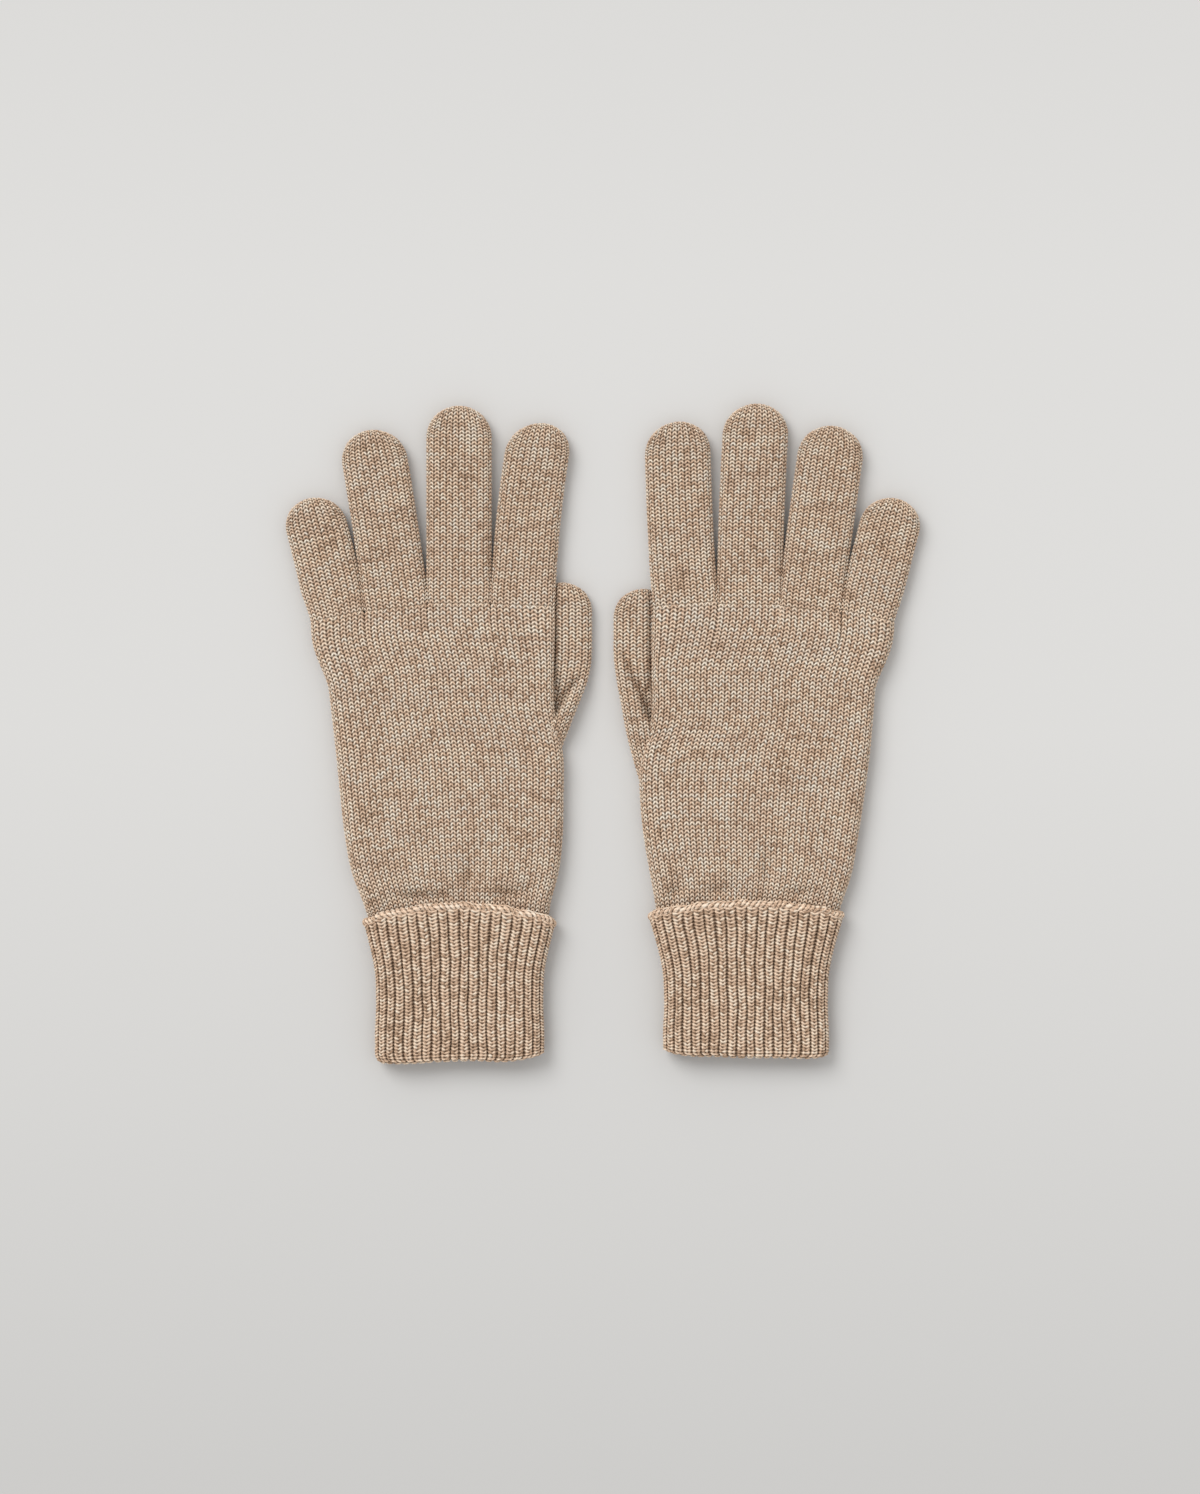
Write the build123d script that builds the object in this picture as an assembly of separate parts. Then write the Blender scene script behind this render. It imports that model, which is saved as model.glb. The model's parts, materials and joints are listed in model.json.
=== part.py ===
from build123d import *
import os
from math import atan2, cos, degrees, pi, radians, sin, sqrt

# A pair of plain knitted gloves lying side by side, palms down, with the cuffs turned up.
# Millimetres. +X runs across the pair, +Y from the cuffs to the fingertips, +Z up from the table.
# Each glove is drawn in its own frame: u points to its thumb, y to its fingertips, and the
# wrist is centred on u = 0. The left glove is drawn as it lies, the right glove is mirrored.

# Fabric
knit_wall = 1.4            # stocking stitch of the hand and fingers
thumb_wall = 1.2           # the thumb is pressed flatter, under the edge of the hand
rib_wall = 1.6             # 1x1 rib of the cuff, crown of the rib to the back of the fabric
gap = 0.3                  # clearance between pieces that move or lie on each other

# Thickness of the lying glove
hand_thickness = 9.4
finger_thickness = 8.0
thumb_thickness = 6.8
wrist_thickness = 7.0      # the flattened wrist, inside the turned-up cuff
round_depth = 6.5          # how far the rounding of a soft edge reaches in from the side

# Hand
wrist_seam_y = -72.0       # where the stocking stitch of the hand meets the rib, under the cuff
wrist_rise_y = -66.0       # the hand lies on the turned-up cuff below here
wrist_down_y = -56.0       # and on the table above here
fold_line = 10.5           # a finger bends this far above the fork beside it

# Thumb, tucked under the edge of the hand
thumb_width = 23.0
thumb_root_width = 22.5
thumb_root_lean = 34.0     # degrees between the line of the thumb's root and +y

# Turned-up cuff
cuff_flare_y = -98.0       # the cuff is straight up to here and flares above
cuff_top_y = -66.0
cuff_top_half_width = 39.2
wrist_slack = 4.6          # the top of the cuff stands out from the wrist by this much
wrist_seam_half_width = cuff_top_half_width - wrist_slack
cuff_fold_round = 1.6
cuff_edge_height = 2.8     # the rounded edge where the rib is bound off
rib_count = 40
rib_depth = 0.55
rib_profile = ((0.0, 1.0), (0.2, 0.25), (0.5, 0.0), (0.8, 0.25))  # share across a rib, share of its depth
far = 300.0                # beyond every piece, for the regions that pieces are cut with

# What differs between the two gloves as they lie
# fingers: root centre (u, y), lean to the thumb in degrees, width at the root, width, length, bow
gloves = {
    "left": {
        "centre": (-57.15, -0.47),
        "mirrored": False,
        "cuff_bottom_y": -130.4,
        "cuff_half_width": 34.0,
        "cuff_arch": (-74.4, -67.3),
        "fingers": {
            "index": (25.1, 51.3, 2.0, 25.2, 25.4, 72.8, 5.2),
            "middle": (-0.3, 52.0, 0.0, 24.8, 25.4, 78.8, 0.0),
            "ring": (-25.3, 50.2, -7.0, 24.6, 25.2, 71.6, -2.0),
            "little": (-48.7, 46.9, -12.0, 21.2, 22.8, 48.0, -1.2),
        },
        "thumb_root": (41.4, -10.0),
        "thumb_tip_y": 60.4,
        "thumb_edge": [(-16.0, 40.8), (-2.0, 42.0), (6.0, 45.0), (14.0, 48.6), (22.0, 51.2), (31.0, 52.4)],
        "outline": [
            (wrist_down_y, -42.6, 39.2),
            (-42.0, -45.2, 40.8),
            (-26.0, -47.2, 41.3),
            (-8.0, -48.7, 41.4),
            (8.0, -50.7, 37.8),
            (28.0, -54.0, 37.4),
            (40.0, -57.2, 37.6),
            (49.0, -60.2, 38.0),
        ],
    },
    "right": {
        "centre": (57.05, -0.47),
        "mirrored": True,
        "cuff_bottom_y": -129.2,
        "cuff_half_width": 33.2,
        "cuff_arch": (-71.4, -66.4),
        "fingers": {
            "index": (24.2, 51.8, 4.4, 25.8, 25.6, 72.6, -2.4),
            "middle": (-1.4, 51.6, -0.8, 23.4, 25.4, 80.1, -2.0),
            "ring": (-25.5, 49.5, -7.0, 24.0, 25.2, 73.8, -0.9),
            "little": (-48.6, 47.1, -12.8, 21.4, 22.8, 47.9, -1.0),
        },
        "thumb_root": (42.6, -17.0),
        "thumb_tip_y": 57.9,
        "thumb_edge": [(-23.0, 42.2), (-10.0, 44.4), (-2.0, 46.6), (10.0, 49.0), (20.0, 51.0), (31.0, 52.5)],
        "outline": [
            (wrist_down_y, -42.0, 38.2),
            (-42.0, -45.0, 40.2),
            (-26.0, -47.0, 42.0),
            (-15.0, -47.8, 42.6),
            (0.0, -50.0, 38.6),
            (26.0, -53.6, 37.4),
            (40.0, -56.5, 37.4),
            (49.0, -59.8, 37.6),
        ],
    },
}


def soft_section(y, low, high, floor, top, depth=round_depth):
    """Outline across a flattened knitted tube: flat above and below, with rounded sides."""
    half, rise = (high - low) / 2, (top - floor) / 2
    depth = min(depth, 0.85 * half)
    fullness = 0.8
    points = []
    for side in (1, -1):
        for step in range(-3, 4):
            turn = radians(30 * step)
            across = half - depth + depth * cos(turn) ** fullness
            lift = rise * abs(sin(turn)) ** fullness * (1 if step > 0 else -1)
            points.append(((low + high) / 2 + side * across, y, (floor + top) / 2 + side * lift))
    return Face(Wire.make_polygon(points))


def skin(sections):
    """A closed form through a row of outlines."""
    return loft(sections, ruled=True)


def tip_sections(centre, tip_y, half, floor, top):
    """Outlines that close a tube in a half-round tip whose upper and lower edges are rounded too."""
    rise = (top - floor) / 2
    sections = []
    for turn in (0, 22, 40, 54, 66, 76):
        beyond = max(0, 1 - half * (1 - sin(radians(turn))) / rise)
        thin = rise * sqrt(1 - beyond**2)
        y = tip_y - half * (1 - sin(radians(turn)))
        u, wide = centre(y), half * cos(radians(turn))
        sections.append(soft_section(y, u - wide, u + wide, floor + rise - thin, top - rise + thin))
    return sections


def digit_sections(finger, inset, start):
    """Outlines of a finger, inset from its outside and begun at a distance along it."""
    _, _, _, root_width, width, length, bow = finger

    def drift(y):
        """How far the finger has bowed to the side at a distance along it."""
        return bow * (max(y, 0) / length) ** 2

    half, root_half = width / 2 - inset, root_width / 2 - inset
    rows = []
    for y, wide, top in ((start, root_half, hand_thickness), (fold_line, half, finger_thickness)):
        rows.append(soft_section(y, drift(y) - wide, drift(y) + wide, inset, top - inset))
    straight = (length - width / 2 - fold_line) / 3
    for y in (fold_line + straight, fold_line + 2 * straight):
        rows.append(soft_section(y, drift(y) - half, drift(y) + half, inset, finger_thickness - inset))
    return rows + tip_sections(drift, length - inset, half, inset, finger_thickness - inset)


def at_root(finger):
    """Where a finger's own frame stands on its glove."""
    u, y, lean = finger[:3]
    return Location((u, y, 0), (0, 0, -lean))


def slab(points, low=-far, high=far):
    """A plan outline stood up between two heights."""
    return extrude(Plane.XY.offset(low) * make_face(Polyline(*points, close=True)), high - low)


def root_corners(finger, back=0.0):
    """The two corners of a finger's root in plan, little-finger side first."""
    u, y, lean, root_width = finger[:4]
    along, across = (sin(radians(lean)), cos(radians(lean))), (cos(radians(lean)), -sin(radians(lean)))
    corners = []
    for side in (-1, 1):
        reach = side * (root_width / 2 + gap)
        corners.append((u + reach * across[0] - back * along[0], y + reach * across[1] - back * along[1]))
    return corners


def below_knuckles(glove, back=0.0):
    """Everything on the wrist side of the line of finger roots."""
    line = []
    for name in ("little", "ring", "middle", "index"):
        line += root_corners(glove["fingers"][name], back)
    first, last = line[0], line[-1]
    little_side = [(-far, -far), (-far, first[1])]
    return slab(little_side + line + [(far, last[1]), (far, -far)])


def thumb_inner_u(glove):
    return glove["thumb_edge"][-1][1] - thumb_width


def thumb_root_line(glove):
    """The outer and the inner end of the thumb's root, and the way the thumb faces from it."""
    u, y = glove["thumb_root"]
    lean = radians(thumb_root_lean)
    inner = (u - thumb_root_width * sin(lean), y + thumb_root_width * cos(lean))
    return (u, y), inner, (cos(lean), sin(lean))


def beyond_thumb_root(glove, forward):
    """Plan region on the thumb's side of its root line, moved towards the thumb by a distance."""
    outer, inner, face = thumb_root_line(glove)
    run = (inner[0] - outer[0], inner[1] - outer[1])
    start = (outer[0] - 2 * run[0] + forward * face[0], outer[1] - 2 * run[1] + forward * face[1])
    end = (inner[0] + 3 * run[0] + forward * face[0], inner[1] + 3 * run[1] + forward * face[1])
    return slab([start, end, (end[0] + far, end[1]), (start[0] + far, start[1])])


def thumb_space(glove, grow, height):
    """The room that the thumb takes under the hand: its plan, grown all round, up to a height."""
    half = thumb_width / 2
    centre_u = glove["thumb_edge"][-1][1] - half
    centre_y = glove["thumb_tip_y"] - half
    inner_u = centre_u - half - grow
    plan = slab([(inner_u, -far), (inner_u, centre_y), (far, centre_y), (far, -far)], high=height)
    tip = Cylinder(half + grow, height + far, align=(Align.CENTER, Align.CENTER, Align.MAX))
    return (plan + Pos(centre_u, centre_y, height) * tip) & beyond_thumb_root(glove, -(grow - gap))


def hand(glove):
    """The tube of the hand, open at the wrist, with a mouth for each finger and for the thumb."""

    def rows(inset):
        """Outlines of the hand, inset from its outside."""
        low, high = leg_heights()
        half = wrist_seam_half_width - inset
        seam_y = wrist_seam_y - (knit_wall if inset else 0)
        first = [soft_section(seam_y, -half, half, low + inset, high - inset)]
        u0, u1 = glove["outline"][0][1:]
        start = [soft_section(wrist_rise_y, (u0 - half) / 2, (u1 + half) / 2, low + inset, high - inset)]
        rest = []
        knuckles_y = max(row[1] for row in glove["fingers"].values())
        for y, u_low, u_high in glove["outline"] + [(knuckles_y + knit_wall, *glove["outline"][-1][1:])]:
            rest.append(soft_section(y, u_low + inset, u_high - inset, inset, hand_thickness - inset))
        return first + start + rest

    ceiling = thumb_thickness + gap
    body = skin(rows(0)) & below_knuckles(glove)
    hollow = skin(rows(knit_wall)) & below_knuckles(glove, knit_wall)
    hollow -= thumb_space(glove, gap + knit_wall, hand_thickness)
    body -= thumb_space(glove, gap, ceiling)
    body -= hollow
    for name, finger in glove["fingers"].items():
        body -= finger_mouth(glove, name, -2 * knit_wall, knit_wall)
    return body - thumb_mouth(glove)


def finger_mouth(glove, name, start, end, top_at_end=hand_thickness):
    """The opening at a finger's root. The index finger's is narrower, beside the thumb's tip."""
    finger = glove["fingers"][name]
    half = finger[3] / 2 - knit_wall
    low, high = -half, half
    if name == "index":
        high = thumb_inner_u(glove) - gap - knit_wall - finger[0]
    sections = []
    for y, top in ((start, hand_thickness), (end, top_at_end)):
        sections.append(soft_section(y, low, high, knit_wall, top - knit_wall))
    return at_root(finger) * skin(sections)


def thumb_mouth(glove):
    """The opening from the hand into the thumb, cut across the thumb's root."""
    outer, inner, face = thumb_root_line(glove)
    clear = thumb_root_width - 2 * (thumb_wall + thumb_thickness / 2)
    opening = Box(4 * knit_wall, clear, thumb_thickness - 2 * thumb_wall)
    middle = ((outer[0] + inner[0]) / 2, (outer[1] + inner[1]) / 2, thumb_thickness / 2)
    return Location(middle, (0, 0, degrees(atan2(face[1], face[0])))) * opening


def finger(glove, name):
    """A finger: a closed tube whose root faces the hand, hollow from its root to its tip."""
    row = glove["fingers"][name]
    tube = at_root(row) * skin(digit_sections(row, 0, gap))
    if name != "index":
        return tube - at_root(row) * skin(digit_sections(row, knit_wall, -knit_wall))
    tube -= thumb_space(glove, gap, thumb_thickness + gap)
    tube -= finger_mouth(glove, name, -knit_wall, fold_line + knit_wall, finger_thickness)
    return tube - at_root(row) * skin(digit_sections(row, knit_wall, -knit_wall)[1:])


def thumb(glove):
    """The thumb: a flattened tube cut off along its slanting root."""

    def rows(inset):
        """Outlines of the thumb, inset from its outside."""
        low, depth = thumb_inner_u(glove) + inset, thumb_thickness / 2
        sections = []
        for y, high in glove["thumb_edge"]:
            sections.append(soft_section(y, low, high - inset, inset, thumb_thickness - inset, depth))
        half = thumb_width / 2 - inset

        def middle(y):
            """The line along the middle of the thumb's tip."""
            return thumb_inner_u(glove) + thumb_width / 2

        return sections + tip_sections(middle, glove["thumb_tip_y"] - inset, half, inset, thumb_thickness - inset)

    tube = skin(rows(0)) & beyond_thumb_root(glove, gap)
    return tube - skin(rows(thumb_wall))


def leg_heights():
    """The lowest and highest point of the cuff's inner layer."""
    floor = rib_wall + 2 * gap
    return floor, floor + wrist_thickness


def cuff_thickness():
    low, high = leg_heights()
    return low + high


def cuff_stations(glove):
    """Distance along the cuff and half its width, from the fold to its top."""
    half = glove["cuff_half_width"]
    start = glove["cuff_bottom_y"] + cuff_fold_round
    return [(start, half), (cuff_flare_y, half), (cuff_top_y, cuff_top_half_width)]


def cuff_leg(glove):
    """The inner layer of the cuff, from the fold up to the hand."""
    low, high = leg_heights()
    stations = [(y, half - rib_wall - gap) for y, half in cuff_stations(glove)[:2]]
    stations.append((wrist_seam_y, wrist_seam_half_width))
    outside = [soft_section(y, -half, half, low, high) for y, half in stations]
    inside = []
    for (y, half), past in zip(stations, (-knit_wall, 0, knit_wall)):
        inside.append(soft_section(y + past, knit_wall - half, half - knit_wall, low + knit_wall, high - knit_wall))
    return skin(outside) - skin(inside)


def rib_section(y, half, inset=0.0):
    """Outline across the ribbed cuff: round ribs all the way round a flattened tube."""
    radius = cuff_thickness() / 2
    flat = half - radius
    length = 4 * flat + 2 * pi * radius
    points = []
    for rib in range(rib_count):
        for share, sunk in rib_profile:
            run = (rib + share) / rib_count * length
            reach = radius - inset - sunk * rib_depth
            if run < 2 * flat:
                points.append((flat - run, y, reach))
            elif run < 2 * flat + pi * radius:
                turn = pi / 2 + (run - 2 * flat) / radius
                points.append((-flat + reach * cos(turn), y, reach * sin(turn)))
            elif run < 4 * flat + pi * radius:
                points.append((run - 3 * flat - pi * radius, y, -reach))
            else:
                turn = -pi / 2 + (run - 4 * flat - pi * radius) / radius
                points.append((flat + reach * cos(turn), y, reach * sin(turn)))
    lifted = [(u, v, z + cuff_thickness() / 2) for u, v, z in points]
    return Face(Wire.make_polygon(lifted))


def below_arch(glove, drop=0.0):
    """Everything on the fold's side of the arched top edge of the cuff, or of that line lowered."""
    side, middle = (y - drop for y in glove["cuff_arch"])
    reach = cuff_top_half_width
    arc = ThreePointArc((-reach, side), (0, middle), (reach, side))
    frame = Polyline((reach, side), (far, side), (far, -far), (-far, -far), (-far, side), (-reach, side))
    return extrude(Plane.XY.offset(-far) * make_face([arc, frame]), 2 * far)


def cuff_room(glove):
    """The space inside the turned-up layer of the cuff."""
    top = cuff_thickness()
    rows = []
    for y, half in cuff_stations(glove):
        rows.append(soft_section(y, rib_wall - half, half - rib_wall, rib_wall, top - rib_wall))
    return skin(rows)


def cuff_turnback(glove):
    """The outer layer of the cuff, folded round at the bottom and turned up, with its ribs."""
    low, high = leg_heights()
    bottom = glove["cuff_bottom_y"]
    half = glove["cuff_half_width"]
    fold = []
    for turn in (0, radians(40)):
        y = bottom + cuff_fold_round * (1 - cos(turn))
        fold.append(rib_section(y, half, cuff_fold_round * (1 - sin(turn))))
    outside = skin(fold + [rib_section(y, wide) for y, wide in cuff_stations(glove)])
    inner = half - rib_wall - gap - knit_wall
    mouth = skin([soft_section(y, -inner, inner, low + knit_wall, high - knit_wall)
                  for y in (bottom - knit_wall, bottom + 2 * cuff_fold_round)])
    return (outside & below_arch(glove, cuff_edge_height)) - cuff_room(glove) - mouth


def cuff_edge(glove):
    """The bound-off edge along the top of the turned-up cuff."""
    top = cuff_thickness()
    rows = [soft_section(y, -half, half, 0, top) for y, half in cuff_stations(glove)[1:]]
    band = skin(rows) & below_arch(glove)
    return band - below_arch(glove, cuff_edge_height) - cuff_room(glove)


def place(glove, piece):
    """Sets a piece of a glove down where the glove lies."""
    if glove["mirrored"]:
        piece = piece.mirror(Plane.YZ)
    return Pos(*glove["centre"], 0) * piece


os.makedirs("parts", exist_ok=True)
for side, glove in gloves.items():
    pieces = {
        "hand": hand(glove),
        "thumb": thumb(glove),
        "cuff_leg": cuff_leg(glove),
        "cuff_turnback": cuff_turnback(glove),
        "cuff_edge": cuff_edge(glove),
    }
    for name in glove["fingers"]:
        pieces[f"{name}_finger"] = finger(glove, name)
    for name, piece in pieces.items():
        export_step(place(glove, piece), f"parts/{side}_{name}.step")
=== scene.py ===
import json
import bpy
import numpy as np
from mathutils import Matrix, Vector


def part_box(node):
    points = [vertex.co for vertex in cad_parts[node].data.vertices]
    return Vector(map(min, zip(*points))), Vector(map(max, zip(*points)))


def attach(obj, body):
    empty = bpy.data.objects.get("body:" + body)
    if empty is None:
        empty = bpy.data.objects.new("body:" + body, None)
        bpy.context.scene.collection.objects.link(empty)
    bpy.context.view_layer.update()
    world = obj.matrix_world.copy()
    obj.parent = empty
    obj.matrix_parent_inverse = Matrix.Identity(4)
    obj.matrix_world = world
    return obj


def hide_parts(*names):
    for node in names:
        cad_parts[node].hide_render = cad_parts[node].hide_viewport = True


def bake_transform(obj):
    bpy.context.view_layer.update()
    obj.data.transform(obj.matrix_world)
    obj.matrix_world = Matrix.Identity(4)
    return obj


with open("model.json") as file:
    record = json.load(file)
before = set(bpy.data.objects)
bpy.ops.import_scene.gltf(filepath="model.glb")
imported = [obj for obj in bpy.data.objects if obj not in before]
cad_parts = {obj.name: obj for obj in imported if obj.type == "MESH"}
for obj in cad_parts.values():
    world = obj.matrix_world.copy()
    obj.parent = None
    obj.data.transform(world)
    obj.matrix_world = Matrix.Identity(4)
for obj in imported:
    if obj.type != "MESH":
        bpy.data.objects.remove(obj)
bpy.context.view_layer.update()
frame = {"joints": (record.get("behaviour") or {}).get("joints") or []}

# ---------------------------------------------------------------------------------------------
# Hands. The hand of each glove is a seamless tube of stocking stitch in soft melange wool yarn,
# knitted in the round from the wrist up and divided at the knuckles into four finger tubes.
# It lies flattened, palm down, puckered above the turned-up cuff, with its edge over the thumb.
# ---------------------------------------------------------------------------------------------
knit_wall = 1.4
hand_thickness = 9.4
thumb_room = 4.4           # how high the underside is lifted over the tucked thumb
soft_edge = 5.2            # how far the rounding of the side reaches in
thumb_side_edge = 2.6      # and at the hand's edge over the thumb
fork_edge = 1.7            # and between two fingers, at the fork
stitch_depth = 0.8         # from the crown of a stitch to the pits beside it
leg_slant = 0.66           # a leg climbs by this share of a course between gap and crown
fold_line = 10.5           # a finger bends this far above its root
cuff_top_half_width = 39.2
gathering = 28             # the wales draw together into the fingers over this
forming = 9                # and over this the section changes into theirs
wales_across = {"little": 9, "ring": 10, "middle": 10, "index": 10}
root_width = {"little": 21.4, "ring": 25.0, "middle": 25.2, "index": 25.6}

# Each glove's own frame has u from its middle towards the thumb and y towards the fingertips, in mm.
# turned: the sign of u in x. cuff_bottom: y of the folded end. hand_course: height of a course.
# outline: y, then u at the little finger's side and at the thumb's. dimples: u, y, width, length, depth.
# arch: y at the corners and the middle of the cuff's top. crotch: the fork between hand and thumb.
# first_course: where counting starts, far apart so that the two gloves' yarn differs.
gloves = {
    "left": {
        "turned": 1,
        "cuff_bottom": -130.4,
        "hand_course": 1.585,
        "outline": [(-79, -34.6, 34.2), (-74, -36.0, 35.0), (-66, -38.8, 36.4), (-56, -42.6, 39.1),
                    (-42, -45.4, 40.8), (-26, -47.3, 41.2), (-8, -49.1, 41.0), (1, -50.1, 39.4),
                    (8, -50.9, 37.9), (28, -53.8, 37.4), (40, -57.2, 37.6), (49, -60.2, 37.9), (56, -62.0, 38.0)],
        "dimples": [(3.6, -58.5, 2.4, 6.0, 3.6), (-17.5, -64.8, 7.5, 2.2, 4.0), (18.0, -63.8, 6.0, 2.4, 3.6),
                    (29.0, -61.5, 4.0, 2.6, 2.0), (-31.0, -68.0, 4.0, 3.0, 1.6), (-6.0, -64.5, 4.0, 2.5, 2.2)],
        "arch": (-74.4, -67.3),
        "crotch": (37.2, 7.2),
        "first_course": 0,
    },
    "right": {
        "turned": -1,
        "cuff_bottom": -129.2,
        "hand_course": 1.59,
        "outline": [(-79, -34.2, 34.2), (-74, -35.8, 35.0), (-66, -38.6, 36.2), (-56, -41.9, 38.0),
                    (-42, -44.4, 40.4), (-26, -46.9, 42.0), (-15, -48.4, 42.2), (-5, -49.6, 40.8),
                    (2, -50.2, 38.4), (26, -52.8, 37.4), (40, -56.5, 37.4), (49, -59.4, 37.6), (56, -61.0, 37.7)],
        "dimples": [(-8.6, -54.5, 2.8, 7.0, 3.4), (28.2, -63.5, 3.6, 3.4, 3.6), (10.0, -62.5, 6.0, 2.4, 3.0),
                    (-22.0, -63.5, 5.0, 2.4, 3.0), (-30.0, -65.0, 3.0, 2.5, 1.6)],
        "arch": (-71.4, -66.4),
        "crotch": (37.3, 4.0),
        "first_course": 700,
    },
}


def joint_row(name):
    """A joint of the frame, by its name."""
    return next(joint for joint in frame["joints"] if joint["name"] == name)


# centre: the glove's own origin. roots: where each finger starts, the way it points, and the way across it.
for side, glove in gloves.items():
    low, high = (np.array(corner) * 1000 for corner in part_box(f"{side}_cuff_turnback"))
    glove["centre"] = ((low[0] + high[0]) / 2, low[1] - glove["cuff_bottom"])
    low, high = (np.array(corner) * 1000 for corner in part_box(f"{side}_thumb"))
    glove["thumb_inner"] = glove["turned"] * ((low[0] if side == "left" else high[0]) - glove["centre"][0])
    glove["thumb_tip_y"] = high[1] - glove["centre"][1]
    mirror = np.array((glove["turned"], 1))
    glove["roots"] = {}
    for name in wales_across:
        joint = joint_row(f"{side}_{name}_bend")
        hinge = (np.array(joint["pos_m"][:2]) * 1000 - glove["centre"]) * mirror
        along = np.array((joint["axis"][1], -joint["axis"][0])) * mirror
        glove["roots"][name] = (hinge - fold_line * along, along, np.array((along[1], -along[0])))


def ease(t):
    """Smooth step: 3t^2 - 2t^3 between 0 and 1, level beyond them."""
    t = np.clip(t, 0, 1)
    return t * t * (3 - 2 * t)


def through(y, points):
    """Curve through a few (y, value) points, on cubic pieces whose slopes are those of the neighbours."""
    at, value = np.array(points, float).T
    slope = np.gradient(value, at)
    piece = np.clip(np.searchsorted(at, y) - 1, 0, len(at) - 2)
    run = at[piece + 1] - at[piece]
    t = np.clip((y - at[piece]) / run, 0, 1)
    blend = ease(t)
    bend = run * (slope[piece] * t * (1 - t) ** 2 - slope[piece + 1] * t * t * (1 - t))
    return value[piece] * (1 - blend) + value[piece + 1] * blend + bend


def rounded(offset, half, depth):
    """Height of a lying tube's face as a share of half its thickness.

    It is 1 on the level part and falls as a quarter ellipse over the last depth at each side.
    """
    return np.sqrt(1 - np.clip((np.abs(offset) - half + depth) / depth, 0, 1) ** 2)


def across(share, half, rise, depth):
    """Offset across a lying tube of a share, from -1 to 1, of the arc of one face.

    Beyond the level part the offset is depth sin(a), where a grows with the arc length of the ellipse
    whose half axes are depth and rise.
    """
    level = half - depth
    squash = ((depth - rise) / (depth + rise)) ** 2
    quarter = np.pi / 4 * (depth + rise) * (1 + squash / 4)
    run = np.abs(share) * (level + quarter)
    t = np.clip((run - level) / quarter, 0, 1)
    angle = np.pi / 2 * t - 0.5 * (depth - rise) / (depth + rise) * np.sin(np.pi * t)
    return np.sign(share) * (np.minimum(run, level) + depth * np.sin(angle))


def finger_height(name, offset, half, along, thinner=0.0):
    """Height of a finger's face as a share of half its thickness.

    An outer side is rounded over soft_edge. Between two fingers the rounding reaches in less near the
    fork, and there the sides are pressed flat together, so that only a shallow crease is left.
    """
    outer = (name == "little") & (offset < 0) | (name == "index") & (offset > 0)
    depth = np.where(outer, soft_edge, fork_edge + (soft_edge - fork_edge) * ease(along / 18)) - thinner
    filled = np.where(outer, 0, 0.6 * (1 - ease((along - 1) / 7)))
    return filled + (1 - filled) * rounded(offset, half, np.maximum(depth, 0.5))


def wale_columns(wales, above, below):
    """Places round a tube, in wales: so many to a wale on the upper face, so many on the lower."""
    half = wales // 2
    return np.concatenate((np.arange(half * above) / above, half + np.arange(half * below) / below))


def face_share(wale, wales):
    """Share of the face from -1 at the little-finger side to 1 at the thumb side, and 1 above or -1 below."""
    upper = wale <= wales / 2
    return np.where(upper, 4 * wale / wales - 1, 3 - 4 * wale / wales), np.where(upper, 1, -1)


def stocking_relief(wale, course):
    """Height of stocking stitch from 0 to 1.

    The courses overlap along arches, one to a wale: with c the share of the course, the surface sinks by
    0.5 + 0.5 cos(2 pi c) at the laps, less on the legs than at the arch's middle and at its two feet.
    """
    off = np.abs(wale % 1 - 0.5) * 2
    pit = np.maximum(np.clip(1 - 2 * off, 0, 1), np.clip(2.5 * off - 1.5, 0, 1))
    lap = 0.5 + 0.5 * np.cos(2 * np.pi * (course - 0.05))
    return 1 - lap * (0.5 + 0.5 * pit) - 0.25 * np.clip(2.5 * off - 1.5, 0, 1) * (1 - lap)


def chevron(wale):
    """How far a course climbs towards the middle of each wale, from -0.5 at the gaps to 0.5, as a soft arch."""
    return 0.5 - (np.abs(wale % 1 - 0.5) * 2) ** 1.1


def outward(points):
    """Unit normals of a tube grid: the cross product of the steps round it and along it."""
    round_it = np.roll(points, -1, axis=1) - np.roll(points, 1, axis=1)
    along_it = np.gradient(points, axis=0)
    normal = np.cross(round_it, along_it)
    return normal / np.maximum(np.linalg.norm(normal, axis=2, keepdims=True), 1e-9)


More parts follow.
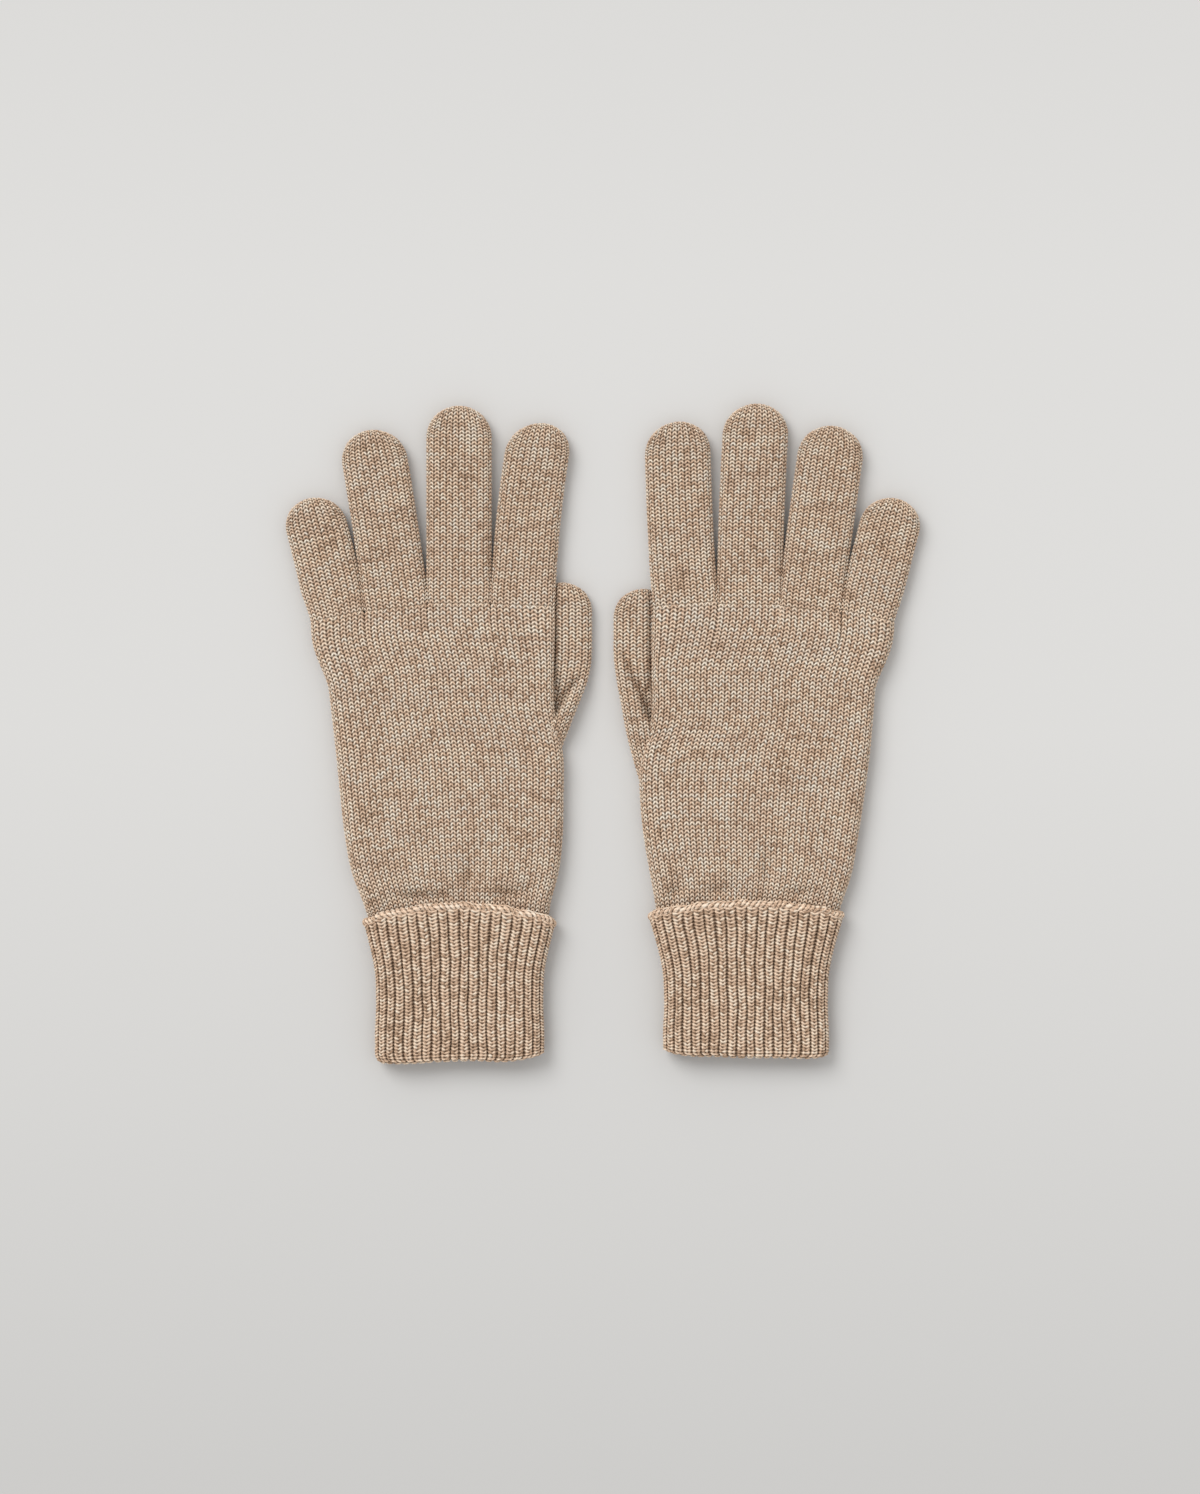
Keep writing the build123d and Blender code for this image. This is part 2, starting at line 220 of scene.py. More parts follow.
def tube_mesh(name, glove, points, wale, course, wales, ends, first=(0, 0, 0)):
    """Puts a grid of points round a tube into a mesh, with wale and course as its UV map.

    points is rows by columns by (u, y, z) in the glove's own frame, in millimetres. The last column
    joins the first. With ends "seamed" the first and last rows are flat seams where each column
    meets its opposite one; with ends "joined" the last row joins the first. Where the quads would
    face inwards, which the sign of the enclosed volume shows, their corners are taken the other way.
    first holds the numbers that the wales above, the wales below and the courses are counted from,
    so that yarn runs on from the hand into a finger. What would sink into the table lies flat on it.
    """
    rows, columns = points.shape[:2]
    place = np.arange(rows * columns).reshape(rows, columns)
    if ends == "seamed":
        opposite = -np.arange(columns) % columns
        for row in (0, -1):
            place[row] = np.minimum(place[row], place[row][opposite])
    wale, course = np.broadcast_to(wale, (rows, columns)), np.broadcast_to(course, (rows, columns))
    next_wale = np.concatenate((wale[:, 1:], wale[:, :1] + wales), axis=1)
    last = rows - 1 if ends == "seamed" else rows
    here, there = np.arange(last), (np.arange(last) + 1) % rows
    step = lambda grid, shift: np.roll(grid, -shift, axis=1)
    corners = np.stack((place[here], step(place, 1)[here], step(place, 1)[there], place[there]), axis=-1)
    wales_at = np.stack((wale[here], next_wale[here], next_wale[there], wale[there]), axis=-1)
    courses_at = np.stack((course[here], step(course, 1)[here], step(course, 1)[there], course[there]), axis=-1)
    above = np.min(wales_at, axis=-1, keepdims=True) < wales / 2
    wales_at = wales_at + np.where(above, first[0], first[1])
    courses_at = courses_at + first[2] + glove["first_course"]
    corners, stitch = corners.reshape(-1, 4), np.stack((wales_at, courses_at), axis=-1).reshape(-1, 4, 2)
    used, corners = np.unique(corners, return_inverse=True)
    corners = corners.reshape(-1, 4)
    vertices = points.reshape(-1, 3)[used] * (glove["turned"], 1, 1) + (*glove["centre"], 0)
    vertices[:, 2] = np.maximum(vertices[:, 2], 0.05)
    a, b, c, d = (vertices[corners[:, k]] for k in range(4))
    if np.sum(np.cross(b - a, c - a) * a + np.cross(c - a, d - a) * a) < 0:
        corners, stitch = corners[:, ::-1], stitch[:, ::-1]
    mesh = bpy.data.meshes.new(name)
    mesh.from_pydata((vertices / 1000).tolist(), [], corners.tolist())
    mesh.uv_layers.new(name="stitches").uv.foreach_set("vector", stitch.ravel().astype(np.float32))
    mesh.shade_smooth()
    piece = bpy.data.objects.new(name, mesh)
    bpy.context.collection.objects.link(piece)
    return piece


def over_thumb(glove, u, y):
    """Height that the underside of the fabric is lifted to where it lies over the tucked thumb."""
    beside = ease((u - glove["thumb_inner"] + 3) / 4)
    start, end = glove["crotch"][1] - 9, glove["thumb_tip_y"]
    return thumb_room * beside * ease((y - start) / 9) * ease((end + 4 - y) / 6)


def waves(u, y):
    """Low swells of fabric that nothing pulls smooth: sines that cross at different slants, 0.3 mm high."""
    swell = np.sin(0.31 * y + 0.12 * u + 1.4 * np.sin(0.07 * u)) + 0.8 * np.sin(0.19 * y - 0.23 * u + 0.6)
    return 0.3 * swell * np.sin(0.05 * y + 0.043 * u + 1.0)


def knuckle_row(glove, wale, wales):
    """The line where the hand ends: the roots of the four fingers side by side.

    Each finger takes its own wales of either face, evenly spread over its root width but for the outer
    sides of the hand, where they follow the arc.
    """
    share, _ = face_share(wale, wales)
    along = (share + 1) / 2 * wales / 2
    u, y, height = np.zeros_like(wale), np.zeros_like(wale), np.zeros_like(wale)
    first = 0
    for name, count in wales_across.items():
        root, _, sideways = glove["roots"][name]
        mine = (along >= first) & (along <= first + count)
        part = 2 * (along - first) / count - 1
        half = root_width[name] / 2
        outer = (name == "little") & (part < 0) | (name == "index") & (part > 0)
        part = np.clip(part, -1, 1)
        offset = np.where(outer, across(part, half, hand_thickness / 2, soft_edge), part * half)
        rise = finger_height(name, offset, half, 0)
        u = np.where(mine, root[0] + offset * sideways[0], u)
        y = np.where(mine, root[1] + offset * sideways[1], y)
        height = np.where(mine, rise, height)
        first += count
    return u, y, height


def cuff_arch(glove, u):
    """Where the cuff's top edge lies along the glove: a parabola through its corners and its middle."""
    corner, middle = glove["arch"]
    return middle - (middle - corner) * (u / cuff_top_half_width) ** 2


def sag(share):
    """How far a course hangs down, evened out about 0: the square of the distance from its highest point."""
    half_width, highest = 45, 8
    return 0.0026 * ((half_width * share - highest) ** 2 - 700)


def hand_surface(glove, wale, wales, course, courses, inset):
    """Points of the hand, course 0 at the wrist and the last course at the knuckles.

    The section is a flattened tube between the two edges of the outline. Over the last stretch it
    changes by a smooth step into the four finger roots. The courses are evenly spaced up to a smoothed
    line of the roots, meet the roots themselves over the last quarter, and sag to both sides as a
    parabola. The upper face dips into the dimples, and the underside rises over the thumb.
    """
    share, face = face_share(wale, wales)
    end_u, end_y, end_height = knuckle_row(glove, wale, wales)
    start_y = glove["outline"][0][0]
    part = course / courses
    even_y = np.mean([np.roll(end_y, step) for step in range(-9, 10)], axis=0)
    y = start_y + (even_y - start_y) * part + (end_y - even_y) * ease(4 * part - 3)
    y = y - sag(share) * (1 - part) * ease((y - start_y) / 14)
    low = through(y, [(row[0], row[1] + inset) for row in glove["outline"]])
    high = through(y, [(row[0], row[2] - inset) for row in glove["outline"]])
    by_thumb = ease((y - glove["crotch"][1] + 6) / 8) * (share > 0)
    half = (high - low) / 2
    offset = across(share, half, hand_thickness / 2, soft_edge)
    height = rounded(offset, half, soft_edge + (thumb_side_edge - soft_edge) * by_thumb)
    drawn = ease((y - end_y + gathering) / gathering)
    formed = ease((y - end_y + forming) / forming) ** 1.6
    u = ((low + high) / 2 + offset) * (1 - drawn) + end_u * drawn
    height = height * (1 - formed) + end_height * formed
    in_cuff = ease((glove["arch"][0] + 8 - y) / 12)
    floor = 2.2 * in_cuff + over_thumb(glove, u, y) + inset
    top = hand_thickness - 0.4 * in_cuff - inset
    middle, rise = (floor + top) / 2, np.maximum(top - floor, 0.4) / 2
    z = middle + face * rise * height
    above_cuff = np.maximum(y - cuff_arch(glove, u), 0)
    depth_at_cuff, reach_at_cuff = 1.4, 3.0
    dip = depth_at_cuff * np.exp(-(above_cuff / reach_at_cuff) ** 2)
    for at_u, at_y, wide, tall, deep in glove["dimples"]:
        dip = dip + deep * np.exp(-((u - at_u) / wide) ** 2 - ((y - at_y) / tall) ** 2)
    z = z + (waves(u, y) - dip) * (face > 0) * height
    return np.stack((u, y, z), axis=-1)


def make_hand(side, glove):
    """The double wall of the hand: knitted outside from wrist to knuckles, smooth inside, both ends lipped."""
    wales = 2 * sum(wales_across.values())
    wale = wale_columns(wales, 6, 3)
    length = glove["roots"]["middle"][0][1] - glove["outline"][0][0]
    courses = glove["hand_courses"] = round(length / glove["hand_course"])
    course = (np.arange(courses * 3 + 1) / 3)[:, None]
    climb = leg_slant * chevron(wale) * ease(course / 2)
    base = hand_surface(glove, wale, wales, course + climb, courses, 0)
    relief = stitch_depth * (stocking_relief(wale, course) - 0.5)
    outside = base + outward(base) * relief[..., None]
    back = np.append(np.linspace(courses - 0.8, 22, 10), np.linspace(20.4, 0.8, 14))[:, None] + 0 * wale
    inside = hand_surface(glove, wale, wales, back, courses, knit_wall)
    points = np.concatenate((outside, inside))
    stitches = np.concatenate((course + 0 * wale, back))
    return tube_mesh(f"{side}_hand_knit", glove, points, wale, stitches, wales, "joined")


class Thread:
    """A shader socket that can be reckoned with: each operator on it adds the Math node it stands for."""

    def __init__(self, tree, socket):
        self.tree, self.socket = tree, socket

    def node(self, kind, settings=(), inputs=(), output=0):
        """Adds a node: its type, its settings, then values or links by socket. Returns one output."""
        made = self.tree.nodes.new(kind)
        for key, value in dict(settings).items():
            if key == "stops":
                ramp = made.color_ramp.elements
                while len(ramp) < len(value):
                    ramp.new(0.5)
                for element, (at, colour) in zip(ramp, value):
                    element.position, element.color = at, colour
            else:
                setattr(made, key, value)
        for key, value in dict(inputs).items():
            if isinstance(value, Thread):
                self.tree.links.new(value.socket, made.inputs[key])
            else:
                made.inputs[key].default_value = value
        return Thread(self.tree, made.outputs[output])

    def math(self, operation, *values):
        """A Math node on any mix of sockets and numbers."""
        return self.node("ShaderNodeMath", {"operation": operation}, enumerate(values))

    def __add__(self, other):
        return self.math("ADD", self, other)

    def __sub__(self, other):
        return self.math("SUBTRACT", self, other)

    def __rsub__(self, other):
        return self.math("SUBTRACT", other, self)

    def __mul__(self, other):
        return self.math("MULTIPLY", self, other)

    __radd__, __rmul__ = __add__, __mul__

    def power(self, value):
        return self.math("POWER", self, value)

    def sine(self):
        return self.math("SINE", self)

    def at_least(self, value):
        return self.math("MAXIMUM", self, value)

    def at_most(self, value):
        return self.math("MINIMUM", self, value)

    def floor(self):
        return self.math("FLOOR", self)

    def fract(self):
        return self.math("FRACT", self)

    def distance(self, value):
        """How far it is from a number, either way."""
        return self.math("ABSOLUTE", self - value)

    def vector(self, y=0.0, z=0.0):
        """A vector with this as its first part."""
        return self.node("ShaderNodeCombineXYZ", (), {0: self, 1: y, 2: z})

    def noise(self, scale, detail=2.0, seed=0.0):
        """Smooth noise at these coordinates, about 0.5."""
        inputs = {"Vector": self, "W": seed, "Scale": scale, "Detail": detail}
        return self.node("ShaderNodeTexNoise", {"noise_dimensions": "4D"}, inputs)

    def random(self):
        """A number from 0 to 1 that differs from cell to cell."""
        return self.node("ShaderNodeTexWhiteNoise", {"noise_dimensions": "3D"}, {"Vector": self})

    def blended(self, other, share, blend="MIX"):
        """This colour blended with another one by a share."""
        settings = {"data_type": "RGBA", "blend_type": blend}
        return self.node("ShaderNodeMix", settings, {0: share, 6: self, 7: other}, 2)


def tint(red, green, blue):
    """A colour given as it looks on screen, made linear."""
    value = np.array((red, green, blue)) / 255
    linear = np.where(value > 0.04045, ((value + 0.055) / 1.055) ** 2.4, value / 12.92)
    return (*linear.tolist(), 1.0)


yarn_stops = [(0.0, tint(136, 107, 84)), (0.25, tint(196, 164, 136)), (0.5, tint(246, 213, 184)),
              (0.75, tint(255, 235, 210)), (1.0, tint(255, 246, 230))]


def yarn_material(name, laps, centre, gap, valley, lift=0.0, streaks=0.6):
    """Melange yarn laid in stitches, from the wale and course of the UV map.

    Each leg has its own shade, the shade drifts along a course by streaks as the yarn's fibres change,
    and fine specks follow the fibres. On top of this, shade is painted into the colour between the
    stitches: darker by laps where one course lies over the next, by centre more in the middle of a wale
    there, by gap more at its sides, and by valley all along its sides. lift makes the whole yarn lighter.
    """
    material = bpy.data.materials.new(name)
    material.use_nodes = True
    tree = material.node_tree
    shader = tree.nodes["Principled BSDF"]
    start = Thread(tree, None)
    stitches = start.node("ShaderNodeUVMap", {"uv_map": "stitches"})
    wale = start.node("ShaderNodeSeparateXYZ", (), {0: stitches}, 0)
    course = start.node("ShaderNodeSeparateXYZ", (), {0: stitches}, 1)
    off = 2 * wale.fract().distance(0.5)                     # 0 in the middle of a wale, 1 at its sides
    lap = 0.5 + 0.5 * ((course + 0.2) * (2 * np.pi)).sine()
    middle = (1 - 2 * off).at_least(0.0)
    side = (2.5 * off - 1.5).at_least(0.0)
    # Painted shade between stitches: trough marks the valley at a wale's sides, and sunk adds up how much darker
    # the colour is painted there and in the laps. relief, 1 less this painted shade, also drives the bump.
    trough_from, trough_width = 0.72, 0.26
    trough = ((off + 0.16 * lap - trough_from) * (1 / trough_width)).at_least(0.0).at_most(1.0)
    sunk = lap * (laps + centre * middle + gap * side) + valley * trough
    relief = (1 - sunk).at_least(0.0)
    one_leg = (2 * wale).floor().vector(course.floor()).random()
    drift = (0.22 * wale).vector(course.floor() * 0.9).noise(1.0, 2.0, 1.7)
    fibre = (4.0 * wale).vector(4.0 * course).noise(1.0, 3.0, 4.1)
    ply = (2.0 * course + 1.2 * off).fract().distance(0.5)
    place = start.node("ShaderNodeTexCoord", output="Object")
    cloud = place.noise(90.0, 3.0, 2.3)
    shade = ((0.5 + lift) + 0.5 * (one_leg - 0.5) + streaks * (drift - 0.5) + 1.5 * (fibre - 0.5)
             + 0.5 * (cloud - 0.5) - 0.25 * (ply - 0.25))
    colour = start.node("ShaderNodeValToRGB", {"stops": yarn_stops}, {0: shade})
    greying = ((0.12 * wale).vector(course.floor() * 0.45).noise(1.0, 3.0, 8.8) - 0.42) * 3.0
    greying = greying.at_least(0.0).at_most(0.8 * streaks)
    grey = colour.blended((0.87, 0.86, 0.89, 1.0), greying, "MULTIPLY")
    # Painted shade: the yarn colour multiplied down to deep brown, mixed in where relief is low, in the pits and
    # laps between stitches.
    painted_shade_colour = grey.blended((0.13, 0.10, 0.08, 1.0), 1.0, "MULTIPLY")
    shown = painted_shade_colour.blended(grey, relief.power(0.8))
    tree.links.new(shown.socket, shader.inputs["Base Color"])
    height = relief + 0.3 * (fibre - 0.5)
    bump = start.node("ShaderNodeBump", (), {"Strength": 0.9, "Distance": 0.0005, "Height": height})
    tree.links.new(bump.socket, shader.inputs["Normal"])
    shader.inputs["Roughness"].default_value = 0.92
    shader.inputs["Specular IOR Level"].default_value = 0.15
    shader.inputs["Sheen Weight"].default_value = 0.6
    shader.inputs["Sheen Roughness"].default_value = 0.45
    shader.inputs["Sheen Tint"].default_value = tint(255, 228, 196)
    return material


# laps, centre, gap and valley set the painted shade in the laps, pits and valleys between the stitches.
stocking_yarn = yarn_material("stocking_stitch_wool", laps=0.55, centre=0.75, gap=0.7, valley=0.44,
                              lift=0.12)
for side, glove in gloves.items():
    hand = make_hand(side, glove)
    hand.data.materials.append(stocking_yarn)
    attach(hand, f"{side}_glove_hand")
    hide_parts(f"{side}_hand")

# ---------------------------------------------------------------------------------------------
# Fingers. Each finger is a tube of stocking stitch knitted on from its own share of the hand's
# wales, without a seam, narrowed at both sides of the tip and drawn together at the top.
# ---------------------------------------------------------------------------------------------
finger_thickness = 8.0
finger_course = 1.47
picked_up = 1              # wales more on each side of a finger, picked up in the forks
# Each finger's width, its length, and how far it bows towards the thumb at its tip.
finger_sizes = {
    "left": {"little": (24.0, 48.4, -1.4), "ring": (25.7, 71.8, -2.0), "middle": (25.6, 78.9, 0.0),
             "index": (25.3, 72.9, 5.2)},
    "right": {"little": (23.6, 48.2, -1.2), "ring": (25.7, 74.0, -0.9), "middle": (25.7, 80.2, -2.0),
              "index": (25.8, 72.8, -2.4)},
}
# Soft creases across the fingers: u, y, width, length, depth.
finger_creases = {
    "left": [(-57.5, 70.0, 6.0, 2.0, 1.1), (-52.0, 80.5, 5.0, 1.8, 0.9), (-27.0, 108.0, 4.0, 1.8, 0.9),
             (-30.0, 82.0, 7.0, 2.4, 0.7), (27.0, 88.0, 7.0, 2.2, 0.6)],
    "right": [(-55.0, 76.0, 6.0, 2.0, 0.8), (-29.0, 92.0, 7.0, 2.2, 0.6), (24.0, 84.0, 6.0, 2.2, 0.7)],
}


def over_the_tip(course, courses, length, reach, arc):
    """Distance along a closed tube of each course, with even steps over the rounding of its tip.

    The last reach of the length is a quarter ellipse of the given arc length: there the distance is
    the start of the rounding plus reach sin(a), a being the share of the arc times pi / 2.
    """
    run = np.clip(course / courses, 0, 1) * (length - reach + arc)
    past = np.clip((run - length + reach) / arc, 0, 1)
    return np.minimum(run, length - reach) + reach * np.sin(np.pi / 2 * past)


def closing(t, radius, depth):
    """How the height of a face falls towards the tip: a quarter ellipse over the last depth of the radius."""
    return np.sqrt(1 - np.clip((t * radius - radius + depth) / depth, 0, 1) ** 2)


def inner_rows(length, reach, start, rows):
    """Distances of the rows of a smooth inner wall: close together round the tip, then even down to the start."""
    round_tip = length - knit_wall - reach * (1 - np.cos(np.linspace(0, 1.5, 10)))
    return np.concatenate((round_tip, np.linspace(length - reach - 3, start, rows)))


def knitted_outside(surface, wale, length, reach, arc):
    """The knitted outside of a closed tube from root to tip, and the course at each of its points.

    surface(along, inset) gives the smooth tube. The relief and the climb of the legs die out at the tip.
    """
    courses = round((length + arc - reach) / finger_course)
    course = (np.arange(courses * 4 + 1) / 4)[:, None]
    climb = leg_slant * chevron(wale) * ease((courses - course) / 2)
    base = surface(over_the_tip(course + climb, courses, length, reach, arc), 0)
    relief = stitch_depth * (stocking_relief(wale, course) - 0.5) * ease(courses - course)
    return base + outward(base) * relief[..., None], course + 0 * wale


def finger_surface(side, name, size, wale, wales, along, inset):
    """Points of a finger, along being the distance from its root.

    The section is a flattened tube on a centre line that bows with the square of the distance. Past
    the start of the tip, t runs from 0 to 1 and the face closes like a square pressed into a disc:
    the offset shrinks by sqrt(1 - t^2 / 2) and the length grows by t sqrt(1 - x^2 / 2).
    """
    glove, (width, length, bow) = gloves[side], size
    root, forward, sideways = glove["roots"][name]
    share, face = face_share(wale, wales)
    outer = (name == "little") & (share < 0) | (name == "index") & (share > 0)
    pressed = np.where(outer, 0, 0.35 * ease(along / 3) * ease((15 - along) / 9))
    narrow = root_width[name] / 2 - inset + (width - root_width[name]) / 2 * ease(along / 14) + pressed
    radius = width / 2 - inset
    tip = length - inset - radius
    t = np.clip((along - tip) / radius, 0, 1)
    top = hand_thickness + (finger_thickness - hand_thickness) * ease(along / 12) - inset
    offset = across(share, narrow, finger_thickness / 2 - inset, soft_edge - inset)
    height = finger_height(name, offset, narrow, along, inset) * closing(t, radius, soft_edge)
    reach = np.clip(offset / radius, -1, 1)
    offset = offset * np.sqrt(1 - t * t / 2)
    distance = np.where(t > 0, tip + radius * t * np.sqrt(1 - reach**2 / 2), along)
    drift = bow * (np.maximum(distance, 0) / length) ** 2
    u = root[0] + distance * forward[0] + (offset + drift) * sideways[0]
    y = root[1] + distance * forward[1] + (offset + drift) * sideways[1]
    floor = inset + (over_thumb(glove, u, y) if name == "index" else 0)
    z = (floor + top) / 2 + face * np.maximum(top - floor, 0.4) / 2 * height
    dip = 0 * z
    for at_u, at_y, wide, tall, deep in finger_creases[side]:
        dip = dip + deep * np.exp(-((u - at_u) / wide) ** 2 - ((y - at_y - 0.3 * (u - at_u)) / tall) ** 2)
    return np.stack((u, y, z + (waves(u, y) - dip) * (face > 0) * height), axis=-1)


def make_finger(side, glove, name, size):
    """A closed double wall: the smooth inside from its tip to the root, then the knitted outside to the tip.

    The two walls meet in a rounded lip that reaches a little way into the hand.
    """
    wales = 2 * (wales_across[name] + 2 * picked_up)
    wale = wale_columns(wales, 6, 6)
    surface = lambda along, inset: finger_surface(side, name, size, wale, wales, along, inset)
    outside, course = knitted_outside(surface, wale, size[1], soft_edge, 7.0)
    lip = surface(-1.6 + 0 * wale[None, :], knit_wall / 2)
    back = np.append(inner_rows(size[1], 11, 0, 8), -2.4)[:, None] + 0 * wale
    points = np.concatenate((surface(back, knit_wall), lip, outside))
    stitches = np.concatenate((back / finger_course, 0 * lip[..., 0] - 1, course))
    before = sum(list(wales_across.values())[:list(wales_across).index(name)])
    first = (before - picked_up, 2 * sum(wales_across.values()) - before - wales + picked_up,
             glove["hand_courses"])
    return tube_mesh(f"{side}_{name}_finger_knit", glove, points, wale, stitches, wales, "seamed", first)


def glove_point(glove, u, y, z=0.0):
    """A point of the glove's own frame, in metres in the pair's frame."""
    return ((glove["turned"] * u + glove["centre"][0]) / 1000, (y + glove["centre"][1]) / 1000, z / 1000)


for side, glove in gloves.items():
    for name, size in finger_sizes[side].items():
        finger = make_finger(side, glove, name, size)
        finger.data.materials.append(stocking_yarn)
        root, forward, _ = glove["roots"][name]
        start, end = root, root + 2 * fold_line * forward
        glove_point(glove, *start)
        glove_point(glove, *end)
        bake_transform(finger)
        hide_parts(f"{side}_{name}_finger")

# ---------------------------------------------------------------------------------------------
# Thumbs. A narrower tube of stocking stitch picked up from stitches left open at the side of the
# hand. It lies pressed flat, tucked under the edge of the hand and the root of the index finger.
# ---------------------------------------------------------------------------------------------
thumb_width = 23.4
thumb_thickness = 6.8
thumb_wales = 20
pressed_height = 3.8       # of its upper face where the hand presses on it
lip_height = 8.9           # the roll of fabric that runs up its outer side from the fork
deepest = 1.8              # the lowest that its upper face comes in the crease
hand_edge = 37.2           # u of the edge of the hand that lies on it
crease_end = {"left": (50.5, 24.0), "right": (51.5, 34.0)}
# The outer edge: y and u.
thumb_edges = {
    "left": [(-24, 37.0), (-12, 39.0), (-4.5, 40.9), (2, 43.4), (12.3, 47.4), (20.3, 50.5), (29, 52.3), (38, 52.6)],
    "right": [(-30, 37.6), (-23, 40.6), (-18, 42.4), (-9.3, 45.0), (-1.3, 47.1), (10.7, 49.4), (20.3, 51.2),
              (30, 52.5), (38, 52.6)],
}


def thumb_top(side, u, y):
    """Height of the thumb's upper face.

    It is low where the hand presses on it and rises by a smooth step beside it, more slowly by the fork.
    Outside the crease, a straight line from the fork to the outer edge, it rises to the lip, which sinks
    back along the crease.
    """
    (fork_u, fork_y), (end_u, end_y) = gloves[side]["crotch"], crease_end[side]
    near_fork = 1 - ease((y - fork_y) / 22)
    low, high = pressed_height - 2.4 * near_fork, thumb_thickness - 0.4 - 0.9 * near_fork
    face = low + (high - low) * ease((u - hand_edge) / (3.4 + 6.0 * near_fork))
    lean = (end_u - fork_u) / (end_y - fork_y)
    outside = ((u - fork_u) - lean * (y - fork_y)) / np.hypot(1, lean)
    lip = lip_height - (lip_height - thumb_thickness - 0.9) * ease((y - fork_y) / (end_y - fork_y))
    lip = lip - 2.4 * (1 - ease((y - fork_y + 15) / 14))
    beside = 3.2 * np.exp(-((outside + 1.6) / 1.7) ** 2) * (y > fork_y) * ease((end_y + 3 - y) / 8)
    return np.maximum(face - beside, deepest) + (lip - face + beside) * ease((outside + 1.2) / 3.6)


def thumb_surface(side, wale, along, start, length, inset):
    """Points of the thumb, along being the distance up from inside the hand to its tip.

    The inner edge is straight, the outer one follows its curve, and the tip closes as a finger's does.
    """
    share, face = face_share(wale, thumb_wales)
    radius = thumb_width / 2 - inset
    tip = length - inset - radius
    t = np.clip((along - tip) / radius, 0, 1)
    y = start + along
    outer = through(np.minimum(y, start + tip), thumb_edges[side]) - inset
    inner = thumb_edges[side][-1][1] - thumb_width + inset - 3.0 * (1 - ease((y - start) / 30))
    half, rise = (outer - inner) / 2, thumb_thickness / 2 - inset
    offset = across(share, half, rise, rise + 1.2)
    height = rounded(offset, half, rise + 1.2) * closing(t, radius, 5)
    reach = np.clip(offset / radius, -1, 1)
    u = (inner + outer) / 2 + offset * np.sqrt(1 - t * t / 2)
    y = np.where(t > 0, start + tip + radius * t * np.sqrt(1 - reach**2 / 2), y)
    sunk = 1 - ease((y - start) / 12)
    lower, upper = 1.2 * sunk + inset, thumb_top(side, u, y) - 1.0 * sunk - 1.7 * inset
    z = (lower + upper) / 2 + face * np.maximum(upper - lower, 0.4) / 2 * height
    return np.stack((u, y, z), axis=-1)


def make_thumb(side, glove):
    """The thumb's closed double wall, made as a finger's is."""
    start = thumb_edges[side][0][0]
    length = glove["thumb_tip_y"] + 0.3 - start
    wale = wale_columns(thumb_wales, 6, 6)
    surface = lambda along, inset: thumb_surface(side, wale, along, start, length, inset)
    outside, course = knitted_outside(surface, wale, length, 5.0, 6.4)
    back = inner_rows(length, 10, 0.6, 36)[:, None] + 0 * wale
    points = np.concatenate((surface(back, knit_wall), outside))
    stitches = np.concatenate((back / finger_course, course))
    return tube_mesh(f"{side}_thumb_knit", glove, points, wale, stitches, thumb_wales, "seamed", (120, 120, 0))


for side, glove in gloves.items():
    thumb = make_thumb(side, glove)
    thumb.data.materials.append(stocking_yarn)
    hinge = joint_row(f"{side}_thumb_bend")
    facing = np.array((abs(hinge["axis"][1]) * glove["turned"], abs(hinge["axis"][0]), 0))
    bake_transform(thumb)
    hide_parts(f"{side}_thumb")

# ---------------------------------------------------------------------------------------------
# Cuffs, turned-up layer. One long tube of 1x1 rib runs on from the wrist. Its lower half is turned
# up over itself at a soft fold, so the rib shows its outside and the V of each stitch points down.
# ---------------------------------------------------------------------------------------------
cuff_thickness = 11.4
fold_reach = 1.8           # radius of the outside of the fold
ribs = 40
rib_course = 1.42
rib_wall = 1.95
rib_depth = 1.7
# Half the cuff's width at each y, and how far its folded end lies above the lowest point at each u.
cuff_flare = {
    "left": [(-131, 32.8), (-129, 33.8), (-124, 34.1), (-106, 33.7), (-94, 34.3), (-88, 35.4), (-82, 36.9),
             (-74, 38.7), (-66, 39.6)],
    "right": [(-130, 32.2), (-128, 33.1), (-123, 33.4), (-106, 33.0), (-94, 33.7), (-88, 34.9), (-82, 36.5),
              (-74, 38.7), (-66, 39.6)],
}
cuff_hem = {
    "left": [(-34, -1.0), (-22, -1.2), (-8, -0.4), (8, 0.0), (17, -0.4), (25, 0.4), (30, 1.6), (34, 2.6)],
    "right": [(-34, 0.4), (-30, 0.0), (-10, 0.0), (3, 0.0), (12, 0.5), (22, 0.6), (27, 1.2), (33, 2.6)],
}


def rib_relief(wale, course):
    """Height of 1x1 rib from 0 to 1: a round knit wale of two legs, sunk to the purl wale at its sides."""
    off = np.abs(wale % 1 - 0.5) * 2
    lap = 0.5 + 0.5 * np.cos(2 * np.pi * (course - 0.05))
    crown = np.clip(1 - (off * (1 + 0.06 * lap)) ** 3.5, 0, 1) ** 0.8
    return crown * (1 - 0.22 * lap) - 0.25 * lap * np.exp(-(off / 0.25) ** 2)


def cuff_ring(side, wale, y, inset):
    """Section round the cuff at each point: level faces and half-round sides, moved in by the inset.

    The ribs wander sideways a little as they rise, by two sines of different lengths.
    """
    share, face = face_share(wale, ribs)
    wander = 0.006 * np.sin(0.19 * y + 5.0 * share) + 0.003 * np.sin(0.43 * y - 9.0 * share + 2.0)
    wander = wander + 0.004 * np.sin(37 * share + 0.06 * y) + 0.003 * np.sin(83 * share - 0.09 * y)
    half = through(y, cuff_flare[side])
    rise = cuff_thickness / 2
    offset = across(share + wander * (1 - share**2), half - inset, rise - inset, rise - inset + 1.5)
    return offset, rise + face * (rise - inset) * rounded(offset, half - inset, rise - inset + 1.5)


def folded_end(side, share):
    """Where the cuff is folded, along the glove."""
    return gloves[side]["cuff_bottom"] + through(share * 34, cuff_hem[side])


